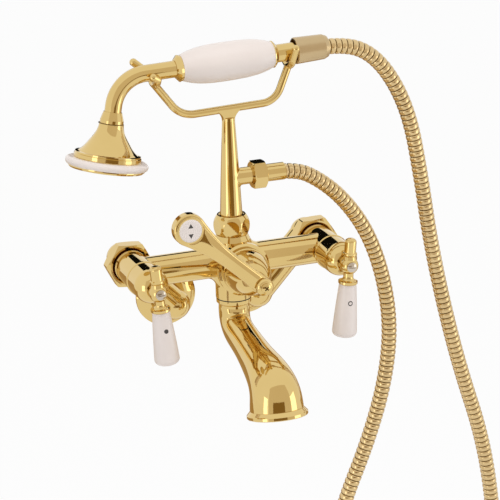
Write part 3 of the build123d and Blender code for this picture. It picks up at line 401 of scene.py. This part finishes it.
def on_front(carrier, x, z, lift=0.0):
    """Point on the front of a node at x and z, raised from its surface."""
    start = Vector((x, cad_low.y - RAY_LEAD, z))
    _, place, normal, _ = nodes[carrier].ray_cast(start, Vector((0, 1, 0)))
    return place + lift * normal


def add_piece(name, vertices, faces, body, material, smooth=0):
    """A small mesh piece in the given material, that moves with a body."""
    piece = new_object(name, vertices, faces, smooth)
    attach(piece, body)
    dress(piece, material)


# Plain marks on the porcelain: a dot for hot, a ring for cold, triangles for the diverter's two ways
MARK_DROP = 0.035            # below the lever's pivot
MARK_LEAN = radians(5.0)     # of the lever, from upright
DOT_R = 0.0021
RING_R = (0.0024, 0.0015)
MARK_SIDES = 28
TRIANGLE_SIZE = 0.0028       # from its middle to its tip
TRIANGLE_HALF = 0.87         # half its width, as a share of that
TRIANGLE_STEPS = 4
TRIANGLE_OUT = 0.0042        # from the middle of the button
FILLED = (1, 0.5, 0.05)      # rows of a filled mark, from its edge to its middle
PRINT_HIGH = 0.00006
PRINT_DEEP = 0.00015


def make_mark(name, carrier, body, rows):
    """A thin print over rows of points that lie inside each other, the outermost first."""
    points = [point for row in rows for point in row]
    front = [on_front(carrier, x, z, PRINT_HIGH) for x, z in points]
    back = [on_front(carrier, x, z, -PRINT_DEEP) for x, z in points]
    print_faces = grid_faces(len(rows), len(rows[0]), round_columns=True)
    faces = closed_sheet(print_faces, len(front))
    add_piece(name, front + back, faces, body=body, material=dark_print)


def circle(x, z, radius):
    return [(x + radius * cos(turn), z + radius * sin(turn)) for turn in angles(MARK_SIDES)]


def triangle(x, z, size, way):
    """Points evenly along the sides of a triangle whose tip is up, or down where way is -1."""
    base = z - way * size / 2
    half = way * TRIANGLE_HALF * size
    corners = [Vector((x, z + way * size)), Vector((x - half, base)), Vector((x + half, base))]
    sides = zip(corners, corners[1:] + corners[:1])
    return [a.lerp(b, step / TRIANGLE_STEPS) for a, b in sides for step in range(TRIANGLE_STEPS)]


def lever_mark(joint):
    """Place of the mark on a lever that hangs from a joint and leans inward."""
    pivot = joint_place(joint)
    inward = -1 if pivot.x > 0 else 1
    return pivot.x + inward * MARK_DROP * sin(MARK_LEAN), pivot.z - MARK_DROP * cos(MARK_LEAN)


def make_marks():
    x, z = lever_mark("hot_lever_turn")
    make_mark("hot_mark", "hot_lever", "hot_handle", [circle(x, z, DOT_R * share) for share in FILLED])
    x, z = lever_mark("cold_lever_turn")
    make_mark("cold_mark", "cold_lever", "cold_handle", [circle(x, z, radius) for radius in RING_R])
    button = middle_of("diverter_button")
    for name, way in (("up_mark", 1), ("down_mark", -1)):
        z = button.z + way * TRIANGLE_OUT
        rows = [triangle(button.x, z, TRIANGLE_SIZE * share, way) for share in FILLED]
        make_mark(name, "diverter_button", "diverter", rows)


make_marks()

# Crown of the diverter lever, along the lever's own line from its hub to its button
LEVER_TURN = radians(137.6)
LEVER_REACH = 0.094          # from the middle of its hub to the middle of its button
LEVER_HUB_R = 0.0085
LEVER_RIM_R = 0.01235        # of the rim round the button
CROWN_WAIST = 0.0062         # half width of the crown along the narrow part of the lever
CROWN_FLARE = 0.0048         # what it gains at the button
FLARE_START = 0.2            # share of the way where it begins to widen
CROWN_HIGH = 0.0013
CROWN_FADE = 0.75            # share of its height that it loses at the button
FADE_START = 0.6             # share of the way where it begins to sink
CROWN_DEEP = 0.0003
CROWN_ROWS = 40
CROWN_COLUMNS = 16


def past(share, start):
    """How far a share of the way has come from start, where it is 0, to the end, where it is 1."""
    return max(0.0, (share - start) / (1 - start))


def make_crown():
    """Rounded back of the lever, raised from the flat of the solid between its hub and its button."""
    pivot = joint_place("diverter_turn")
    along = Vector((cos(LEVER_TURN), 0, sin(LEVER_TURN)))
    beside = Vector((-along.z, 0, along.x))
    front, back = [], []
    for row in range(CROWN_ROWS + 1):
        share = row / CROWN_ROWS
        half = CROWN_WAIST + CROWN_FLARE * past(share, FLARE_START) ** 3
        high = CROWN_HIGH * (1 - CROWN_FADE * past(share, FADE_START) ** 2)
        for column in range(CROWN_COLUMNS + 1):
            across = 1 - 2 * column / CROWN_COLUMNS
            start = (LEVER_HUB_R ** 2 - (across * CROWN_WAIST) ** 2) ** 0.5
            end = LEVER_REACH - (LEVER_RIM_R ** 2 - (across * half) ** 2) ** 0.5
            place = pivot + (start + (end - start) * share) * along + across * half * beside
            seat = on_front("diverter_lever", place.x, place.z)
            front.append(seat - Vector((0, high * (1 - across ** 2), 0)))
            back.append(seat + Vector((0, CROWN_DEEP, 0)))
    top = grid_faces(CROWN_ROWS + 1, CROWN_COLUMNS + 1)
    faces = closed_sheet(top, len(front))
    add_piece("lever_crown", front + back, faces, body="diverter", material=brass,
              smooth=len(top))


make_crown()

# Painted shade: a dark bottom in the cross of the diverter screw, and a dark ring in the seam between the head nut
# and the bell
CROSS_ARMS = 4
CROSS_HALF = 0.0022          # from its middle to the end of an arm
CROSS_WIDE = 0.0005          # half the width of an arm
CROSS_FLOOR = 0.0009         # below the crown of the screw
CROSS_THICK = 0.0002
SEAM_R = 0.0003
SEAM_SIDES = 72
SEAM_ROUND = 8


def make_cross_shade():
    low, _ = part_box("diverter_screw")
    place = middle_of("diverter_screw")
    place.y = low.y + CROSS_FLOOR
    front = []
    for turn in angles(CROSS_ARMS):
        ahead = Vector((cos(LEVER_TURN + turn), 0, sin(LEVER_TURN + turn)))
        beside = Vector((-ahead.z, 0, ahead.x))
        front.append(place + CROSS_WIDE * (ahead - beside))
        front.append(place + CROSS_HALF * ahead - CROSS_WIDE * beside)
        front.append(place + CROSS_HALF * ahead + CROSS_WIDE * beside)
    back = [point + Vector((0, CROSS_THICK, 0)) for point in front]
    faces = closed_sheet([tuple(range(len(front)))], len(front))
    # The recess takes painted shade, a near-black bottom in the cross
    add_piece("screw_recess_shade", front + back, faces, body="diverter", material=painted_shade_brass)


def make_seam_shade():
    plate = middle_of("spray_plate")
    axis = (middle_of("head_nut") - plate).normalized()
    points = [vertex.co - plate for vertex in nodes["head_nut"].data.vertices]
    level = min(point.dot(axis) for point in points)
    edge = [point for point in points if point.dot(axis) < level + SEAM_R]
    radius = max((point - point.dot(axis) * axis).length for point in edge)
    side = axis.orthogonal().normalized()
    other = axis.cross(side)
    vertices = []
    for turn in angles(SEAM_SIDES):
        out = cos(turn) * side + sin(turn) * other
        centre = plate + radius * out + level * axis
        for lean in angles(SEAM_ROUND):
            vertices.append(centre + SEAM_R * (cos(lean) * out - sin(lean) * axis))
    faces = grid_faces(SEAM_SIDES, SEAM_ROUND, round_columns=True, round_rows=True)
    # The seam ring takes painted shade, a near-black line between the nut and the bell
    add_piece("head_seam_shade", vertices, faces, body="handset", material=painted_shade_brass,
              smooth=len(faces))


make_cross_shade()
make_seam_shade()

# Floor, background, lamps, and cards that stand round the object and show only in its reflections
CORNERS = ((-1, -1), (1, -1), (1, 1), (-1, 1))
FLOOR_HALF = 6.0
FLOOR_DROP = 0.012           # below the lowest point of the object
FLOOR_ROUGHNESS = 0.9
FLOOR_CLOUD_SCALE = 2.0
FLOOR_TONES = (0.92, 0.94)
FLOOR_GLOW = 0.93            # the rest of the floor's tone is lit, so that it holds the shadow
SKY_SEEN = 1.0               # strength of the background as it is seen
SKY_LIGHT = 0.64             # and as it lights the object
OBJECT_MIDDLE = Vector((0.0, -0.09, 0.06))
NEAR_BLACK = (0.006, 0.006, 0.005)
DARK_BROWN = (0.27, 0.17, 0.06)
BROWN = (0.48, 0.32, 0.14)
CREAM = (0.78, 0.71, 0.63)
FRONT_CARD = Vector((-0.22, -1.58, -0.045))


def stage_panel(name, corners):
    panel = new_object(name, corners, [(0, 1, 2, 3)])
    return panel


def glow(tree, colour):
    node = tree.nodes.new("ShaderNodeEmission")
    node.inputs["Color"].default_value = (*colour, 1)
    return node.outputs["Emission"]


def seen_or_lit(tree, seen, lit):
    """One value for what the camera sees, by itself, in metal or through glass, and one for light."""
    path = tree.nodes.new("ShaderNodeLightPath")
    sight = path.outputs["Is Camera Ray"]
    for ray in ("Is Glossy Ray", "Is Transmission Ray"):
        either = tree.nodes.new("ShaderNodeMath")
        either.operation = "MAXIMUM"
        tree.links.new(sight, either.inputs[0])
        tree.links.new(path.outputs[ray], either.inputs[1])
        sight = either.outputs["Value"]
    level = tree.nodes.new("ShaderNodeMapRange")
    level.inputs["To Min"].default_value = lit
    level.inputs["To Max"].default_value = seen
    tree.links.new(sight, level.inputs["Value"])
    return level.outputs["Result"]


def make_floor():
    level = cad_low.z - FLOOR_DROP
    floor = stage_panel("floor", [(x * FLOOR_HALF, y * FLOOR_HALF, level) for x, y in CORNERS])
    material, tree, shader = new_material("pale_floor")
    shader.inputs["Roughness"].default_value = FLOOR_ROUGHNESS
    dark, pale = FLOOR_TONES
    tone = ramp(tree, noise(tree, FLOOR_CLOUD_SCALE), grey(dark), grey(pale))
    tree.links.new(tone, shader.inputs["Base Color"])
    mix = tree.nodes.new("ShaderNodeMixShader")
    tree.links.new(seen_or_lit(tree, seen=FLOOR_GLOW, lit=0.0), mix.inputs["Fac"])
    tree.links.new(shader.outputs["BSDF"], mix.inputs[1])
    tree.links.new(glow(tree, grey(1.0)), mix.inputs[2])
    tree.links.new(mix.outputs["Shader"], tree.nodes["Material Output"].inputs["Surface"])
    dress(floor, material)


def make_world():
    world = bpy.data.worlds.new("studio")
    scene.world = world
    world.use_nodes = True
    tree = world.node_tree
    background = tree.nodes["Background"]
    background.inputs["Color"].default_value = (1, 1, 1, 1)
    tree.links.new(seen_or_lit(tree, seen=SKY_SEEN, lit=SKY_LIGHT), background.inputs["Strength"])


def softbox(name, bearing, height, distance, size, power, mirrored=True):
    """A soft lamp round the object, at a bearing in degrees from +X, turned to its middle.

    One that isn't mirrored lights the object without showing in polished metal.
    """
    turn = radians(bearing)
    data = bpy.data.lights.new(name, "AREA")
    data.shape = "RECTANGLE"
    data.size, data.size_y = size
    data.energy = power
    lamp = bpy.data.objects.new(name, data)
    lamp.location = OBJECT_MIDDLE + Vector((distance * cos(turn), distance * sin(turn), height))
    lamp.rotation_euler = (OBJECT_MIDDLE - lamp.location).to_track_quat("-Z", "Y").to_euler()
    lamp.visible_glossy = mirrored
    scene.collection.objects.link(lamp)


def card(name, place, facing, size, colour):
    """A glowing panel that shows only in reflections."""
    turn = Vector(facing).to_track_quat("-Z", "Y").to_matrix().to_4x4()
    turn.translation = Vector(place)
    width, height = size
    panel = stage_panel(name, [turn @ Vector((x * width / 2, y * height / 2, 0)) for x, y in CORNERS])
    panel.visible_camera = False
    panel.visible_diffuse = False
    panel.visible_shadow = False
    material, tree, _ = new_material(name)
    tree.links.new(glow(tree, colour), tree.nodes["Material Output"].inputs["Surface"])
    dress(panel, material)


make_floor()
make_world()
softbox("left_box", bearing=-153, height=-0.12, distance=1.5, size=(0.45, 0.8), power=1.4)
softbox("right_box", bearing=-34, height=-0.12, distance=1.5, size=(0.7, 0.8), power=2.0)
softbox("top_box", bearing=-100, height=1.5, distance=0.5, size=(1.2, 1.0), power=8.0, mirrored=False)
card("card_back", (0.061, 0.146, 0.209), facing=(0, -1, 0), size=(0.242, 0.102), colour=NEAR_BLACK)
card("card_back_left", (-0.085, 0.146, 0.180), facing=(0, -1, 0), size=(0.05, 0.064), colour=NEAR_BLACK)
card("card_low", (0.4, 1.3, cad_low.z), facing=(0, 0, 1), size=(2.8, 2.0), colour=BROWN)
card("card_room", (-0.3, -2.6, 1.3), facing=(0, 1, 0), size=(5.6, 4.2), colour=CREAM)
card("card_front", FRONT_CARD, facing=OBJECT_MIDDLE - FRONT_CARD, size=(1.3, 0.5), colour=DARK_BROWN)

scene.view_settings.view_transform = "Standard"
